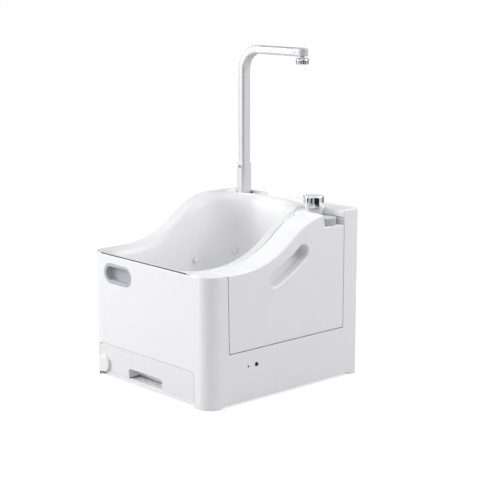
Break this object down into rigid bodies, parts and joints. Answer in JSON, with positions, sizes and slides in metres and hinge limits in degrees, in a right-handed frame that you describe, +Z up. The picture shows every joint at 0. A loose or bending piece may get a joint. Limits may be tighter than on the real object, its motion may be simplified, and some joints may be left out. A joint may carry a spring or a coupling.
{
  "type": "portable handwash sink",
  "caption": "Portable handwash sink with a deep white basin, a removable clean water tank, a pull-out waste water drawer and a swivelling telescopic spout.",
  "frame": {"origin": "on the table, under the centre of the overall box", "axes": "+X to the sink's right (the tank side), +Y to its back, +Z up"},
  "size_m": [0.35, 0.385, 0.625],
  "materials": {
    "casing_white": "fine satin moulding",
    "basin_white": "smooth satin moulding",
    "panel_white": "smooth moulding",
    "tank_white": "fine satin moulding",
    "drawer_white": "fine satin moulding",
    "frosted_cap": "frosted moulding",
    "grey_plastic": "fine matt moulding",
    "dark_plastic": "fine matt moulding",
    "rubber": "matt rubber",
    "chrome": "polished",
    "satin_metal": "satin",
    "steel": "brushed",
    "hose": "clouded soft tube",
    "circuit_board": "lacquered board"
  },
  "bodies": {
    "casing": {"outer_shell": "casing_white", "base_plate": "casing_white", "basin": "basin_white", "rear_deck": "casing_white", "bay_liner": "panel_white", "tank_coupling": "grey_plastic", "drawer_rail_left": "grey_plastic", "drawer_rail_right": "grey_plastic", "drain_strainer": "steel", "tailpipe": "grey_plastic", "grip_bezel": "grey_plastic", "grip_cup": "grey_plastic", "spout_bush": "rubber", "sleeve_guide": "grey_plastic", "knob_ring": "chrome", "flow_valve": "grey_plastic", "pump_body": "dark_plastic", "pump_motor": "steel", "pump_bracket": "grey_plastic", "battery_pack": "dark_plastic", "control_board": "circuit_board", "dc_jack": "dark_plastic", "led_lens": "dark_plastic", "suction_hose": "hose", "delivery_hose": "hose", "riser_hose": "hose", "spray_nozzle_1": "chrome", "spray_nozzle_2": "chrome", "spray_nozzle_3": "chrome", "foot_front_left": "rubber", "foot_rear_left": "rubber", "foot_front_right": "rubber", "foot_rear_right": "rubber", "base_screw_front_left": "steel", "base_screw_rear_left": "steel", "base_screw_front_right": "steel", "base_screw_rear_right": "steel"},
    "tank": {"tank_shell": "tank_white", "tank_outlet": "dark_plastic", "outlet_seal": "rubber"},
    "cap": {"tank_cap": "frosted_cap", "cap_seal": "rubber"},
    "drawer": {"waste_tray": "drawer_white", "waste_lid": "panel_white"},
    "plug": {"drain_plug": "drawer_white", "plug_seal": "rubber"},
    "knob": {"control_knob": "chrome", "valve_spindle": "steel"},
    "sleeve": {"spout_sleeve": "satin_metal"},
    "tube": {"spout_tube": "satin_metal", "spout_end_cap": "chrome", "aerator_neck": "chrome"},
    "button": {"lock_button": "dark_plastic"},
    "aerator_head": {"aerator": "chrome", "aerator_screen": "steel"}
  },
  "joints": [
    {"name": "drawer_slide", "type": "slide", "parent": "casing", "child": "drawer", "axis": [0, -1, 0], "range_m": [0, 0.22]},
    {"name": "plug_pull", "type": "slide", "parent": "drawer", "child": "plug", "axis": [0, -1, 0], "range_m": [0, 0.012]},
    {"name": "tank_slide", "type": "slide", "parent": "casing", "child": "tank", "axis": [1, 0, 0], "range_m": [0, 0.07]},
    {"name": "cap_turn", "type": "hinge", "parent": "tank", "child": "cap", "pos_m": [0.1502, 0.1269, 0.306], "axis": [0, 0, 1], "range_deg": [0, 540]},
    {"name": "knob_turn", "type": "hinge", "parent": "casing", "child": "knob", "pos_m": [0.1108, 0.1322, 0.338], "axis": [0, 0, 1], "range_deg": [0, 270]},
    {"name": "spout_swivel", "type": "hinge", "parent": "casing", "child": "sleeve", "pos_m": [-0.124, 0.1665, 0.32], "axis": [0, 0, 1], "range_deg": [-90, 90]},
    {"name": "spout_height", "type": "slide", "parent": "sleeve", "child": "tube", "axis": [0, 0, 1], "range_m": [-0.14, 0]},
    {"name": "lock_button_press", "type": "slide", "parent": "sleeve", "child": "button", "axis": [0, 1, 0], "range_m": [0, 0.0009], "stiffness_N_per_m": 400},
    {"name": "aerator_tilt", "type": "hinge", "parent": "tube", "child": "aerator_head", "pos_m": [0.0425, 0.1665, 0.6044], "axis": [1, 0, 0], "range_deg": [-15, 15]}
  ]
}
